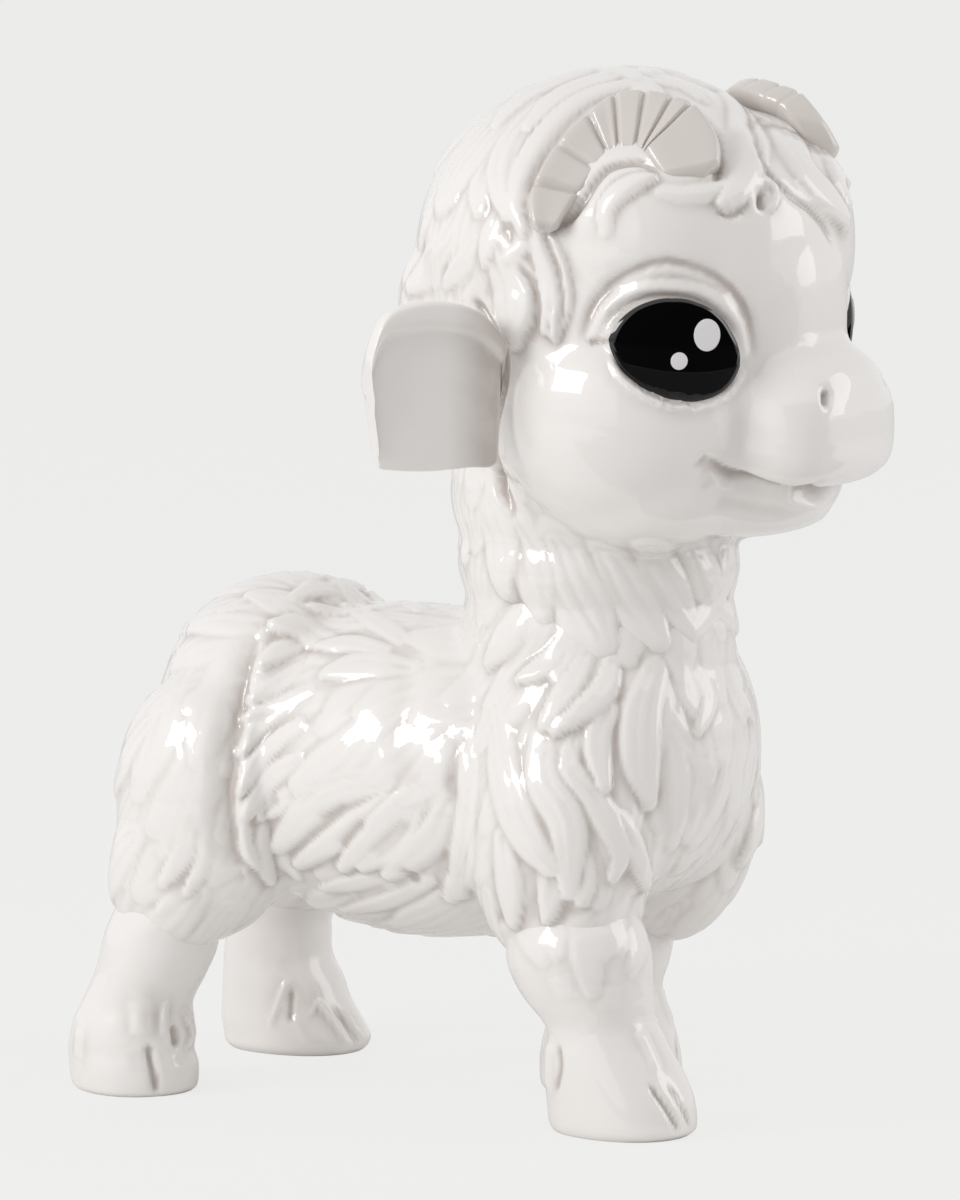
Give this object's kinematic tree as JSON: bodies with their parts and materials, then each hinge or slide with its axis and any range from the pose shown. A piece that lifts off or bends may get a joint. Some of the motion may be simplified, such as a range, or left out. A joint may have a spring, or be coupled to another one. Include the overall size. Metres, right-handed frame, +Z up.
{
  "type": "goat kid figurine",
  "caption": "Standing goat kid ornament in white glazed ceramic: a big head on a woolly body, with small ribbed horns, drooping ears, black eyes and cloven hooves.",
  "frame": {"origin": "on the floor, under the middle of the figure's bounding box", "axes": "+Z up, -Y the way the kid faces, +X the kid's left"},
  "size_m": [0.2086, 0.2664, 0.3287],
  "materials": {
    "white_glaze": "glossy white glaze",
    "horn_glaze": "thin, slightly warm glaze",
    "black_glaze": "glossy black glaze",
    "white_enamel": "painted white dot"
  },
  "bodies": {
    "root": {"torso": "white_glaze", "head": "white_glaze", "horn_right": "horn_glaze", "horn_left": "horn_glaze", "ear_right": "white_glaze", "ear_left": "white_glaze", "eye_right": "black_glaze", "eye_left": "black_glaze", "catchlight_large_right": "white_enamel", "catchlight_large_left": "white_enamel", "catchlight_small_right": "white_enamel", "catchlight_small_left": "white_enamel", "foreleg_right": "white_glaze", "foreleg_left": "white_glaze", "hind_leg_right": "white_glaze", "hind_leg_left": "white_glaze", "tail": "white_glaze"}
  },
  "joints": []
}
